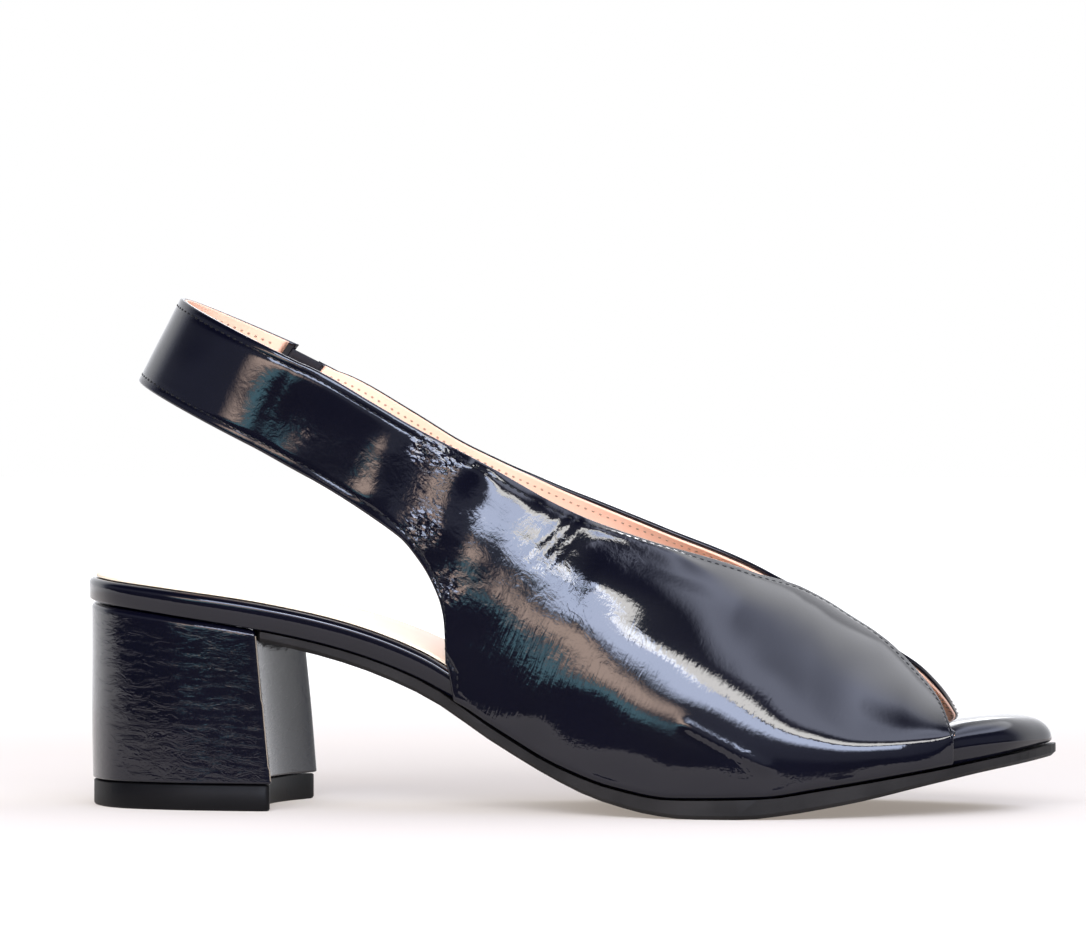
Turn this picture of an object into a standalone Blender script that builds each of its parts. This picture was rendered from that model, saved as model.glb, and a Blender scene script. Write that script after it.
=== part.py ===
"""Peep toe slingback sandal on a block heel, right shoe.

Sizes are millimetres; the meshes are scaled to metres as they are made.
Stations run from the back of the seat (0) to the toe tip (LENGTH).
y is minus on the outer (lateral) side and plus on the inner (medial) side.
"""
import math

import bmesh
import bpy
import numpy as np

MM = 0.001

# Driving dimensions
LENGTH = 245.0          # insole, back of the seat to toe tip
BALL_WIDTH = 75.0       # insole, across the ball
HEEL_HEIGHT = 52.2      # floor to the underside of the seat, at the back
INSTEP_HEIGHT = 63.4    # floor to the ridge of the vamp, behind the crossing
ORIGIN_STATION = 26.0   # middle of the heel's tread, where the origin lies

# Walls and clearances
GAP = 0.3               # between pieces that touch on the real shoe
BREAST_GAP = 0.8        # at the insole, from the leaning heel breast to the outsole
WALL = 2.0              # leather and lining of the upper
SOCK_THICK = 0.7
SOCK_INSET = 1.8        # from the insole's edge
SOCK_END = 215.0        # station of the sock's front edge
TREAD_BEVEL = 1.0       # lower edge of the outsole
TOP_PIECE = 6.5         # thickness of the heel's rubber lift
TOP_PIECE_BEVEL = 0.6
TOP_PIECE_INSET = 0.2   # from the heel's side
SEAT_LENGTH = 50.0      # part of the insole's plan that the heel follows
HEEL_SIDE_STEPS = 12
BREAST_SAG = 7.0        # hollow of the heel's front face
WALL_RISE = 8.0         # upright part of the upper, over the insole's edge
PAD_REACH = 16.0        # distance from the edge over which the toe pad swells
PAD_MIDDLE = 9.0        # distance from the edge of a ring on the pad's slope
END_REACH = 40.0        # length over which rings draw in less at the plan's narrow ends
END_ROOM = 0.55         # share of an inset that is left at the very end

# Crossing of the two panels
LAP = 1.2               # how far the outer panel stands over the inner one
LAP_STATIONS = (172, 184, 203, 214)   # starts to lift, lifted, starts to fall, level again
LAP_ANGLES = (45, 80)   # angles between which the lift grows

# Sling strap, where it turns round the heel
STRAP_BACK_LOW = (12.9, 108.3)    # station and height of its lower edge
STRAP_BACK_HIGH = (24.1, 129.6)   # station and height of its upper edge
STRAP_END = 163.5       # degrees round the turn, 0 outer side, 180 inner side
STRAP_STEP = 2.2        # how far the strap's inner end stands above the stub
STUB_END = 172.0        # degrees where the inner panel's stub starts
ELASTIC_THICK = 1.0
ELASTIC_FREE = 0.5      # degrees left free at each end
ELASTIC_MARGIN = 0.09   # share of the strap's width left free at each edge

# Angles on a section of the last: wall foot, wall top at 0, ridge at 90
FOOT_ANGLE = -30.0
RIDGE_ANGLE = 90.0
REAR_CORNER = 98.8      # station where the panels' rear edge meets the sole
FRONT_LATERAL = 222.4   # station where each panel's toe edge meets the sole
FRONT_MEDIAL = 220.9
CROSSING_FRONT = 205.0  # station just ahead of where the panels cross
STRAP_KNEE = 0.2        # share of a strap's section that stands for the wall


def table(columns, *rows):
    """Rows of numbers as named columns."""
    return dict(zip(columns.split(), np.array(rows, float).T))


# Plan of the insole: percent of the length, then percent of the ball width on each side
OUTLINE = table(
    "station lateral medial",
    (3.3, 23.3, 23.3), (9.8, 32.0, 31.8), (18.4, 34.4, 33.6), (28.6, 34.7, 30.9), (38.8, 36.0, 28.8),
    (49.0, 40.3, 32.3), (58.0, 46.1, 41.9), (65.3, 49.1, 49.6), (73.5, 47.5, 52.8), (81.6, 40.8, 50.9),
    (89.8, 30.4, 44.8), (95.9, 16.0, 35.0), (98.8, 1.3, 22.7),
)
TIP_OFFSET = 10.7       # percent of the ball width, toe tip towards the inner side

# Side view of the sole: top of the outsole, and how far the outsole stands out past the insole
SOLE = table(
    "station feather welt",
    (0, HEEL_HEIGHT, 0.0), (25, 48.7, 0.0), (50, 44.8, 0.0), (70, 40.3, 0.0), (90, 33.0, 0.2),
    (110, 20.6, 1.8), (125, 12.2, 1.8), (140, 6.9, 1.8), (154, 4.6, 1.8), (176, 5.0, 1.8), (190, 7.0, 1.8),
    (215, 11.2, 1.8), (230, 14.0, 1.0), (LENGTH, 16.9, 1.0),
)

# Underside of the outsole, flat on the floor under the ball
TREAD = table(
    "station height",
    (0, 49.4), (25, 46.0), (50, 42.2), (70, 37.4), (90, 29.6), (110, 17.3), (125, 8.9), (134, 4.9),
    (142, 2.5), (150, 0.8), (159, 0.0), (171, 0.0), (180, 0.9), (190, 2.5), (200, 4.4), (215, 8.0),
    (230, 11.2), (LENGTH, 13.8),
)

# Wrapped insole: thickness at its edge, rounding of its upper edge and swell of its pad
RIM = table(
    "station thick round pad",
    (0, 5.8, 1.6, 0), (50, 6.6, 1.6, 0), (90, 6.8, 1.6, 0), (195, 6.8, 1.6, 0), (214, 7.2, 3.4, 1.8),
    (222, 9.4, 5.0, 1.4), (231, 8.6, 5.0, 1.2), (239, 6.9, 4.6, 0.7), (LENGTH, 4.4, 3.4, 0.4),
)

# Last above the wall: ridge across, ridge height in percent of the instep height, fullness of the curve
LAST = table(
    "station across ridge fullness",
    (48, 0.0, 257, 3.4), (60, 0.0, 237, 3.4), (80, 0.0, 203, 3.2), (98, 0.0, 175, 2.85), (122, 0.5, 144, 2.5),
    (146, 1.0, 120, 2.25), (170, 2.0, 100, 1.93), (187, 3.0, 83.4, 1.6), (200, 4.0, 70.4, 1.42),
    (210, 5.0, 62, 1.36), (222.4, 7.0, 48, 1.36),
)

# Edges of the panels as angles on the last
LATERAL_TOP = table(
    "station angle",
    (60, 26), (84, 33.2), (109, 45.7), (134, 54.4), (158, 65.2), (171, 72.2), (180, 79.8), (187, 86),
    (193, 90.9), (198, 90), (203, 81.4), (208, 73.1), (213, 63.6), (218, 47.8), (220.6, 27.3), (222.2, 4),
)
MEDIAL_TOP = table(
    "station angle",
    (60, 25.3), (90, 35.2), (103, 42.4), (117, 51.1), (130, 58.4), (156, 69.4), (169, 73.9), (176, 76.7),
    (182, 83.6), (189, 98), (196, 97.8), (202, 83.1), (207, 73.5), (211.6, 68.1), (216, 55.3),
    (218.4, 42.2), (220, 23.3), (220.9, 4),
)
REAR_EDGE = table(
    "station angle",
    (48, 9.3), (62, 9.05), (78, 9.4), (85, 9.5), (90.2, 8.3), (94.2, 6.1), (96.2, 3.5), (97.4, -6),
    (REAR_CORNER, FOOT_ANGLE),
)

# Sections of a panel: station at its lower edge, station at its upper edge
SECTIONS = table(
    "low high",
    (222.4, 222.2), (220.8, 220.6), (217.5, 217.5), (212.5, 213), (206, 207), (198, 200), (190, 193),
    (181, 185), (170, 175), (156, 162.5), (141, 149), (125, 136), (111, 126), (REAR_CORNER, 118),
    (97.4, 112.5), (96.2, 107.5), (94.2, 103.5), (90.2, 99.5), (84.5, 95), (76, 88), (62, 74), (48, 60),
)

# Heel block: height, back, front corner on each side, share of the insole's width
HEEL = table(
    "height back lateral_front medial_front width",
    (TOP_PIECE + GAP, 0.9, 52.8, 55.0, 0.94), (28.0, 0.6, 50.8, 53.6, 0.955),
    (HEEL_HEIGHT, 0.6, 48.6, 51.6, 0.98),
)


def along(rows, column, x):
    """Smooth value of a table's column at station x, with no overshoot between rows."""
    knots = rows["station"]
    values = rows[column]
    widths = np.diff(knots)
    slopes = np.diff(values) / widths
    tangents = np.concatenate([slopes[:1], np.zeros(len(knots) - 2), slopes[-1:]])
    for i in range(1, len(knots) - 1):
        before, after = slopes[i - 1], slopes[i]
        if before * after > 0:
            heavy = 2 * widths[i] + widths[i - 1]
            light = widths[i] + 2 * widths[i - 1]
            tangents[i] = (heavy + light) / (heavy / before + light / after)
    k = np.clip(np.searchsorted(knots, x) - 1, 0, len(knots) - 2)
    t = np.clip((x - knots[k]) / widths[k], 0, 1)
    start = (2 * t**3 - 3 * t**2 + 1) * values[k] + (t**3 - 2 * t**2 + t) * widths[k] * tangents[k]
    return start + (3 * t**2 - 2 * t**3) * values[k + 1] + (t**3 - t**2) * widths[k] * tangents[k + 1]


def smooth_ring(points, steps):
    """Closed centripetal Catmull-Rom curve through the points, with steps samples between each two."""
    samples = []
    count = len(points)
    for k in range(count):
        p = [points[(k + j) % count] for j in (-1, 0, 1, 2)]
        t = np.cumsum([0.0] + [math.sqrt(np.linalg.norm(p[j + 1] - p[j])) for j in range(3)])
        for s in range(steps):
            u = t[1] + (t[2] - t[1]) * s / steps
            a = [((t[j + 1] - u) * p[j] + (u - t[j]) * p[j + 1]) / (t[j + 1] - t[j]) for j in range(3)]
            b = [((t[j + 2] - u) * a[j] + (u - t[j]) * a[j + 1]) / (t[j + 2] - t[j]) for j in range(2)]
            samples.append(((t[2] - u) * b[0] + (u - t[1]) * b[1]) / (t[2] - t[1]))
    return np.array(samples)


def insole_ring(steps=4):
    """Plan of the insole: from the back along the outer side to the toe, and back along the inner side."""
    stations = OUTLINE["station"] * LENGTH / 100
    outer = np.column_stack([stations, -OUTLINE["lateral"] * BALL_WIDTH / 100])
    inner = np.column_stack([stations, OUTLINE["medial"] * BALL_WIDTH / 100])
    tip = (LENGTH, TIP_OFFSET * BALL_WIDTH / 100)
    return smooth_ring(np.vstack([[(0, 0)], outer, [tip], inner[::-1]]), steps)


def ring_normals(ring):
    """Unit normals that point out of a plan ring."""
    tangent = np.roll(ring, -1, axis=0) - np.roll(ring, 1, axis=0)
    normal = np.column_stack([tangent[:, 1], -tangent[:, 0]])
    return normal / np.linalg.norm(normal, axis=1)[:, None]


PLAN = insole_ring()
PLAN_NORMALS = ring_normals(PLAN)
FINE_PLAN = insole_ring(steps=16)
SKIN_PLAN = FINE_PLAN + ring_normals(FINE_PLAN) * (GAP + WALL)


def skin_edge(x, side):
    """How far across the outside of the upper lies at the sole."""
    tip = np.argmax(SKIN_PLAN[:, 0])
    half = SKIN_PLAN[: tip + 1] if side < 0 else SKIN_PLAN[tip:][::-1]
    return np.interp(x, half[:, 0], half[:, 1])


def smoothstep(low, high, value):
    """0 below low, 1 above high, smooth between."""
    t = min(max((value - low) / (high - low), 0.0), 1.0)
    return t * t * (3 - 2 * t)


def last_point(x, angle, side):
    """Point on the outside of the upper, at a station and at an angle round its section."""
    if angle > RIDGE_ANGLE:
        angle, side = 2 * RIDGE_ANGLE - angle, -side
    foot_y = skin_edge(x, side)
    foot_z = along(SOLE, "feather", x) + GAP
    if angle <= 0:
        return np.array([x, foot_y, foot_z + WALL_RISE * (1 - angle / FOOT_ANGLE)])
    power = 2 / along(LAST, "fullness", x)
    ridge_y = along(LAST, "across", x)
    ridge_z = along(LAST, "ridge", x) * INSTEP_HEIGHT / 100
    base_z = foot_z + WALL_RISE
    turn = math.radians(angle)
    y = ridge_y + (foot_y - ridge_y) * math.cos(turn) ** power
    z = base_z + (ridge_z - base_z) * math.sin(turn) ** power
    return np.array([x, y, z])


def lap_point(x, angle, side):
    """Point of the outer panel, lifted over the inner panel round the crossing."""
    point = last_point(x, angle, side)
    rise_start, rise_end, fall_start, fall_end = LAP_STATIONS
    weight = smoothstep(rise_start, rise_end, x) * (1 - smoothstep(fall_start, fall_end, x))
    weight *= smoothstep(*LAP_ANGLES, angle)
    if weight == 0:
        return point
    core = np.array([x, along(LAST, "across", x), along(SOLE, "feather", x)])
    outward = point - core
    return point + outward / np.linalg.norm(outward) * LAP * weight


def section_angles(low, high, wall_steps, arch_steps):
    """Angles from the lower edge to the upper edge, with one always at the wall's top."""
    knee = max(0.0, low + STRAP_KNEE * (high - low))
    wall = np.linspace(low, knee, wall_steps + 1)
    return np.concatenate([wall, np.linspace(knee, high, arch_steps + 1)[1:]])


def row_values(column, per_row):
    """A section column, sampled smoothly per_row times between its rows."""
    rows = {"station": np.arange(len(SECTIONS[column]), dtype=float), column: SECTIONS[column]}
    samples = np.linspace(0, len(SECTIONS[column]) - 1, (len(SECTIONS[column]) - 1) * per_row + 1)
    return np.array([along(rows, column, u) for u in samples])


def fit_front(stations, front):
    """Stations of the sections, drawn in past the crossing to end at a panel's own front."""
    past = np.maximum(stations - CROSSING_FRONT, 0)
    return stations - past * (FRONT_LATERAL - front) / (FRONT_LATERAL - CROSSING_FRONT)


def panel_grid(side, top_edge, front, place, per_row=2, wall_steps=2, arch_steps=8):
    """Rows of points over a panel, from the toe opening to where its strap leaves the side."""
    grid = []
    lows = fit_front(row_values("low", per_row), front)
    highs = fit_front(row_values("high", per_row), front)
    for low_x, high_x in zip(lows, highs):
        low = FOOT_ANGLE if low_x >= REAR_CORNER else along(REAR_EDGE, "angle", low_x)
        high = along(top_edge, "angle", high_x)
        angles = section_angles(low, high, wall_steps, arch_steps)
        shares = np.linspace(0, 1, len(angles))
        stations = low_x + (high_x - low_x) * shares
        grid.append([place(x, a, side) for x, a in zip(stations, angles)])
    return np.array(grid)


def turn_point(outer_row, inner_row, index, degrees, inset=0.0):
    """Point where the strap turns round the heel, between the last rows of the two panels."""
    share = index / (len(outer_row) - 1)
    back = np.array(STRAP_BACK_LOW) + (np.array(STRAP_BACK_HIGH) - np.array(STRAP_BACK_LOW)) * share
    side = outer_row[index] if degrees <= 90 else inner_row[index]
    turn = math.radians(degrees)
    x = side[0] - (side[0] - back[0] - inset) * math.sin(turn)
    y = (abs(side[1]) - inset) * -math.cos(turn)
    z = side[2] + (back[1] - side[2]) * math.sin(turn)
    return np.array([x, y, z])


def turn_rows(outer_row, inner_row, start, end, count, inset=0.0):
    """Rows of the strap round the heel, from start to end in degrees."""
    indexes = range(len(outer_row))
    turns = np.linspace(start, end, count)
    return [[turn_point(outer_row, inner_row, i, d, inset) for i in indexes] for d in turns]


def new_collection(name):
    """A collection in the scene."""
    collection = bpy.data.collections.new(name)
    bpy.context.scene.collection.children.link(collection)
    return collection


def place_origin(points):
    """Millimetres from the seat's back to metres from the origin."""
    return (np.asarray(points, float).reshape(-1, 3) - (ORIGIN_STATION, 0, 0)) * MM


def mesh_object(name, points, faces, collection):
    """An object from points in millimetres and faces, with its faces turned out."""
    mesh = bpy.data.meshes.new(name)
    mesh.from_pydata(place_origin(points).tolist(), [], faces)
    shape = bmesh.new()
    shape.from_mesh(mesh)
    bmesh.ops.recalc_face_normals(shape, faces=shape.faces)
    shape.to_mesh(mesh)
    shape.free()
    mesh.shade_smooth()
    mesh.set_sharp_from_angle(angle=math.radians(40))
    obj = bpy.data.objects.new(name, mesh)
    collection.objects.link(obj)
    return obj


def ring_bands(ring_count, size):
    """Faces between each ring and the next."""
    faces = []
    for r in range(ring_count - 1):
        for i in range(size):
            j = (i + 1) % size
            faces.append((r * size + i, r * size + j, (r + 1) * size + j, (r + 1) * size + i))
    return faces


def cross_strips(first, size):
    """Faces across a long ring, from its outer half to its inner half."""
    half = size // 2
    faces = [(first, first + 1, first + size - 1), (first + half - 1, first + half, first + half + 1)]
    for i in range(1, half - 1):
        faces.append((first + i, first + i + 1, first + size - i - 1, first + size - i))
    return faces


def layered_solid(name, rings, collection):
    """A solid from plan rings one over the other, closed across at the first and last."""
    size = len(rings[0])
    last = (len(rings) - 1) * size
    faces = ring_bands(len(rings), size) + cross_strips(0, size) + cross_strips(last, size)
    return mesh_object(name, np.vstack(rings), faces, collection)


def block_solid(name, rings, collection):
    """A solid from plan rings one over the other, closed by one face at each end."""
    size = len(rings[0])
    last = (len(rings) - 1) * size
    caps = [tuple(range(size)), tuple(range(last, last + size))]
    return mesh_object(name, np.vstack(rings), ring_bands(len(rings), size) + caps, collection)


def sheet_solid(name, grid, thickness, collection):
    """A thin solid on the inner side of a grid of points."""
    rows, columns = grid.shape[:2]
    faces = []
    for r in range(rows - 1):
        for c in range(columns - 1):
            a = r * columns + c
            faces.append((a, a + 1, a + columns + 1, a + columns))
    mesh = bpy.data.meshes.new(name)
    mesh.from_pydata(place_origin(grid).tolist(), [], faces)
    mesh.shade_smooth()
    obj = bpy.data.objects.new(name, mesh)
    collection.objects.link(obj)
    wall = obj.modifiers.new("wall", "SOLIDIFY")
    wall.thickness = thickness * MM
    wall.offset = -1.0
    wall.use_even_offset = True
    return obj


def join_with(obj, tool, operation):
    """Cut or join a piece with a helper, which is then hidden."""
    modifier = obj.modifiers.new(operation.lower(), "BOOLEAN")
    modifier.operation = operation
    modifier.object = tool
    modifier.solver = "EXACT"
    tool.hide_render = True
    tool.display_type = "WIRE"


def paint(obj, colour, roughness, metallic=0.0):
    """Give a piece its own material."""
    material = bpy.data.materials.new(obj.name)
    material.use_nodes = True
    shader = material.node_tree.nodes["Principled BSDF"]
    shader.inputs["Base Color"].default_value = (*colour, 1.0)
    shader.inputs["Roughness"].default_value = roughness
    shader.inputs["Metallic"].default_value = metallic
    obj.data.materials.append(material)


def plan_ring(offset, height):
    """Ring of the insole's plan, moved out by offset, with heights from a function of the station."""
    moves = np.array([offset(x) for x in PLAN[:, 0]])
    flat = PLAN + PLAN_NORMALS * moves[:, None]
    return np.column_stack([flat, [height(x) for x in np.clip(PLAN[:, 0], 0, LENGTH)]])


def insole_top(x, inset):
    """Height of the wrapped insole, at a distance in from its edge."""
    edge = along(RIM, "round", x)
    swell = 1 - (1 - min(inset / PAD_REACH, 1.0)) ** 3
    drop = edge - math.sqrt(max(edge**2 - max(edge - inset, 0.0) ** 2, 0.0))
    return along(SOLE, "feather", x) + GAP + along(RIM, "thick", x) + along(RIM, "pad", x) * swell - drop


def inset_room(x):
    """Share of an inset that fits in the narrow ends of the plan."""
    end = min(x, LENGTH - x)
    return END_ROOM + (1 - END_ROOM) * smoothstep(0, END_REACH, end)


def breast_line(lateral_corner, medial_corner, steps):
    """Hollow front of the heel, from its outer corner to its inner corner."""
    shares = np.linspace(0, 1, steps + 1)[:, None]
    line = lateral_corner + (medial_corner - lateral_corner) * shares
    line[:, 0] -= BREAST_SAG * 4 * (shares * (1 - shares))[:, 0]
    return line


def heel_ring(level, inset=0.0, breast_steps=10):
    """Plan of the heel at one row of its table."""
    shares = np.linspace(0, 1, HEEL_SIDE_STEPS + 1)
    stations = SEAT_LENGTH * (1 - np.cos(shares * math.pi / 2))
    back, width = HEEL["back"][level], HEEL["width"][level]
    sides = []
    for column, side in (("lateral_front", -1), ("medial_front", 1)):
        tip = np.argmax(FINE_PLAN[:, 0])
        edge = FINE_PLAN[: tip + 1] if side < 0 else np.vstack([FINE_PLAN[tip:], FINE_PLAN[:1]])[::-1]
        y = np.interp(stations, edge[:, 0], edge[:, 1]) * width - side * inset * (stations > 0)
        x = back + inset + stations * (HEEL[column][level] - back - 2 * inset) / SEAT_LENGTH
        sides.append(np.column_stack([x, y]))
    outer, inner = sides
    breast = breast_line(outer[-1], inner[-1], breast_steps)
    return np.vstack([outer, breast[1:-1], inner[:0:-1]])


def make_outsole(parts, cutters):
    """Outsole from the heel breast to the toe, with an edge bevel and a flat tread under the ball."""
    rings = [
        plan_ring(lambda x: along(SOLE, "welt", x) - TREAD_BEVEL, lambda x: along(TREAD, "height", x)),
        plan_ring(lambda x: along(SOLE, "welt", x), lambda x: along(TREAD, "height", x) + TREAD_BEVEL),
        plan_ring(lambda x: along(SOLE, "welt", x), lambda x: along(SOLE, "feather", x)),
    ]
    outsole = layered_solid("outsole", rings, parts)
    top_ring = heel_ring(len(HEEL["height"]) - 1)
    breast = top_ring[HEEL_SIDE_STEPS:-HEEL_SIDE_STEPS + 1] + (BREAST_GAP, 0)
    behind, reach = -LENGTH / 10, BALL_WIDTH
    outer_end = [(behind, -reach), (breast[0][0], -reach)]
    inner_end = [(breast[-1][0], reach), (behind, reach)]
    plan = np.vstack([outer_end, breast, inner_end])
    levels = (0.0, 2 * HEEL_HEIGHT)
    seat_rings = [np.column_stack([plan, np.full(len(plan), z)]) for z in levels]
    seat_cut = block_solid("seat_cut", seat_rings, cutters)
    join_with(outsole, seat_cut, "DIFFERENCE")
    paint(outsole, (0.020, 0.019, 0.019), 0.6)


def make_insole(parts):
    """Wrapped insole: upright edge, rounded rim and a pad that swells at the bare toe."""
    rings = [plan_ring(lambda x: 0.0, lambda x: along(SOLE, "feather", x) + GAP)]
    for share in (0.0, 0.14, 0.5, 1.0):
        rings.append(plan_ring(
            lambda x: -share * along(RIM, "round", x),
            lambda x: insole_top(x, share * along(RIM, "round", x))))
    for inset in (PAD_MIDDLE, PAD_REACH):
        rings.append(plan_ring(lambda x: -inset * inset_room(x), lambda x: insole_top(x, inset)))
    insole = layered_solid("insole_board", rings, parts)
    paint(insole, (0.018, 0.020, 0.036), 0.2)


def make_sock(parts, cutters):
    """Sock lining on the insole, cut off straight under the toe opening."""
    insets = (SOCK_INSET, PAD_MIDDLE, PAD_REACH)
    under = [sock_ring(inset, GAP) for inset in insets[::-1]]
    over = [sock_ring(inset, GAP + SOCK_THICK) for inset in insets]
    sock = layered_solid("insole_sock", under + over, parts)
    bpy.ops.mesh.primitive_cube_add(size=1)
    front_cut = bpy.context.object
    front_cut.name = "sock_front_cut"
    block = 2 * BALL_WIDTH
    front_cut.scale = [block * MM] * 3
    front_cut.location = place_origin((SOCK_END + block / 2, 0, block / 2))[0]
    for owner in front_cut.users_collection:
        owner.objects.unlink(front_cut)
    cutters.objects.link(front_cut)
    join_with(sock, front_cut, "DIFFERENCE")
    paint(sock, (0.80, 0.62, 0.48), 0.6)


def sock_ring(inset, lift):
    """Ring of the sock, above the insole."""
    room = (lambda x: 1.0) if inset == SOCK_INSET else inset_room
    level = max(inset, RIM["round"].max())
    return plan_ring(lambda x: -inset * room(x), lambda x: insole_top(x, level) + lift)


def make_heel(parts):
    """Block heel with a hollow breast and a seat that follows the insole, and its rubber lift."""
    rings = []
    for level, height in enumerate(HEEL["height"]):
        plan = heel_ring(level)
        seat = np.array([along(SOLE, "feather", x) for x in np.clip(plan[:, 0], 0, LENGTH)])
        top = level == len(HEEL["height"]) - 1
        rings.append(np.column_stack([plan, seat if top else np.full(len(plan), height)]))
    heel = block_solid("heel_block", rings, parts)
    paint(heel, (0.018, 0.020, 0.036), 0.2)
    levels = ((TOP_PIECE_BEVEL, 0.0), (0.0, TOP_PIECE_BEVEL), (0.0, TOP_PIECE))
    lift_rings = []
    for bevel, height in levels:
        plan = heel_ring(0, TOP_PIECE_INSET + bevel)
        lift_rings.append(np.column_stack([plan, np.full(len(plan), height)]))
    lift = block_solid("heel_top_piece", lift_rings, parts)
    paint(lift, (0.012, 0.012, 0.013), 0.5)


def make_upper(parts, cutters):
    """Outer panel with its sling strap, joined to the inner panel where they cross, and the elastic."""
    outer = panel_grid(-1, LATERAL_TOP, FRONT_LATERAL, lap_point)
    inner = panel_grid(1, MEDIAL_TOP, FRONT_MEDIAL, last_point)
    strap = turn_rows(outer[-1], inner[-1] + (0, 0, STRAP_STEP), 0, STRAP_END, count=19)[1:]
    stub = turn_rows(outer[-1], inner[-1], 180, STUB_END, count=3)[1:]
    upper = sheet_solid("upper", np.vstack([outer, strap]), WALL, parts)
    inner_panel = sheet_solid("inner_panel", np.vstack([inner, stub])[:, ::-1], WALL, cutters)
    join_with(upper, inner_panel, "UNION")
    paint(upper, (0.018, 0.020, 0.036), 0.2)

    inset = (WALL - ELASTIC_THICK) / 2
    start, end = STRAP_END + ELASTIC_FREE, STUB_END - ELASTIC_FREE
    rows = np.array(turn_rows(outer[-1], inner[-1], start, end, count=5, inset=inset))
    shares = np.linspace(0, 1, rows.shape[1])
    kept = np.linspace(ELASTIC_MARGIN, 1 - ELASTIC_MARGIN, 6)
    band = np.array([[[np.interp(s, shares, row[:, k]) for k in range(3)] for s in kept] for row in rows])
    elastic = sheet_solid("sling_elastic", band, ELASTIC_THICK, parts)
    paint(elastic, (0.012, 0.012, 0.016), 0.7)


def main():
    """Build the sandal."""
    for obj in list(bpy.data.objects):
        bpy.data.objects.remove(obj, do_unlink=True)
    parts = new_collection("peep_toe_sandal")
    cutters = new_collection("cutters")
    make_outsole(parts, cutters)
    make_insole(parts)
    make_sock(parts, cutters)
    make_heel(parts)
    make_upper(parts, cutters)


main()
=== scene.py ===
"""Looks of the peep toe slingback sandal, right shoe, on a white studio floor.

Sizes are millimetres from the back of the seat, as in the part: stations run to the toe, y is minus on
the outer (lateral) side and plus on the inner (medial) side. Meshes are made in the row frame, in metres.
"""
import math

import bmesh
import bpy
import numpy as np
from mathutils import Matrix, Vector


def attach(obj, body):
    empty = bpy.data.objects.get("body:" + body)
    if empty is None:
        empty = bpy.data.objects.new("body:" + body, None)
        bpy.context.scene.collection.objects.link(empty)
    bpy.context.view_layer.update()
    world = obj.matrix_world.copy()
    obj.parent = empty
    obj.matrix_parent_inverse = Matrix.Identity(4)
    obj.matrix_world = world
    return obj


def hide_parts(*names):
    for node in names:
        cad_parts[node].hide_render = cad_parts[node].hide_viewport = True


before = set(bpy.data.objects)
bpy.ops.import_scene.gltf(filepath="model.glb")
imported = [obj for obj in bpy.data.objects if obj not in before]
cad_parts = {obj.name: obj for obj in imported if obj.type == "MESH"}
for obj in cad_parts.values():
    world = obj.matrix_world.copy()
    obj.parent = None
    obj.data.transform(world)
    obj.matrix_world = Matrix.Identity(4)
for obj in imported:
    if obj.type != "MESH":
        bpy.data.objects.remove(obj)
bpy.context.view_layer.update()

MM = 0.001
BODY = "root"

# Driving dimensions and clearances, as in the part
LENGTH = 245.0
BALL_WIDTH = 75.0
HEEL_HEIGHT = 52.2
INSTEP_HEIGHT = 63.4
ORIGIN_STATION = 26.0
GAP = 0.3
WALL = 2.0
SOCK_THICK = 0.7
SOCK_INSET = 1.8
SOCK_END = 215.0
TOP_PIECE = 6.5
TOP_PIECE_INSET = 0.2
HEEL_BOTTOM = TOP_PIECE + GAP
SEAT_LENGTH = 50.0
BREAST_SAG = 7.0
WALL_RISE = 8.0
PAD_REACH = 16.0
END_REACH = 40.0
END_ROOM = 0.55
LAP = 1.2
LAP_STATIONS = (172, 184, 203, 214)
LAP_ANGLES = (45, 80)
STRAP_BACK_LOW = (12.9, 108.3)
STRAP_BACK_HIGH = (24.1, 129.6)
STRAP_END = 163.5
STRAP_STEP = 2.2
STUB_END = 172.0
ELASTIC_THICK = 1.0
ELASTIC_MARGIN = 0.03
FOOT_ANGLE = -30.0
RIDGE_ANGLE = 90.0
REAR_CORNER = 98.8
FRONT_LATERAL = 222.4
FRONT_MEDIAL = 220.9
CROSSING_FRONT = 205.0
STRAP_KNEE = 0.2

# Layers and sewing of the upper
LEATHER = 1.25          # patent leather with its folded edge
LINING_INSET = 0.7      # lining's edge, from the folded edge
BARE_INSET = 0.1        # the same along the inner side of the strap
INSET_STATIONS = (105, 130)
STITCH_EDGE = 2.2       # stitch row, from the folded edge
STITCH_PITCH = 2.05
STITCH_LENGTH = 1.25
LINING_STITCH = 0.8
STITCH_WIDTH = 0.62
FRONT_WIDE = 0.9        # share by which the stitches are wider at the toe edge
FRONT_STATIONS = (188, 205)
STITCH_RISE = 0.14
TUCK = 1.4              # turn of the leather under the foot, at the sole
GROOVE_DEPTH = 0.1
GROOVE_WIDTH = 0.45
SEWN_FADE = 4.0         # length over which the sewn rear edge turns into the one under the foot
SEAM_PAST = 1.5         # how far the rear stitches go on past that corner
CALM_EDGE = (0.6, 2.8)  # distances from an edge between which the relief grows
LAYER_GAP = 0.05        # between the leather and its lining
OUTER_WAVES = 0.05      # heights of the leather's own waves
INNER_WAVES = 0.08

# Stitches: length before the first, rows of a panel and of a lining that have them, rings and sides of one
STITCH_START = 1.2
STITCH_SPAN = slice(2, -3)
LINING_SPAN = slice(3, -2)
STITCH_RINGS = np.array([-0.5, -0.38, -0.15, 0.15, 0.38, 0.5])
STITCH_GIRTHS = np.sqrt(np.clip(1 - (2 * STITCH_RINGS) ** 2, 0.02, 1))
STITCH_SIDES = np.linspace(0, 2 * math.pi, 6, endpoint=False)
STITCH_LOOK = 0.1       # distance to both sides that gives a ring its direction

# Elastic web: degrees of it inside the strap and the stub, points of its grid, and its ribs
ELASTIC_TUCK = 2.5
ELASTIC_ROWS = 30
ELASTIC_POINTS = 72
RIB_HEIGHT = 0.12
RIB_POINTS = 6
RIB_EDGE = (0.2, 0.8)

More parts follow.
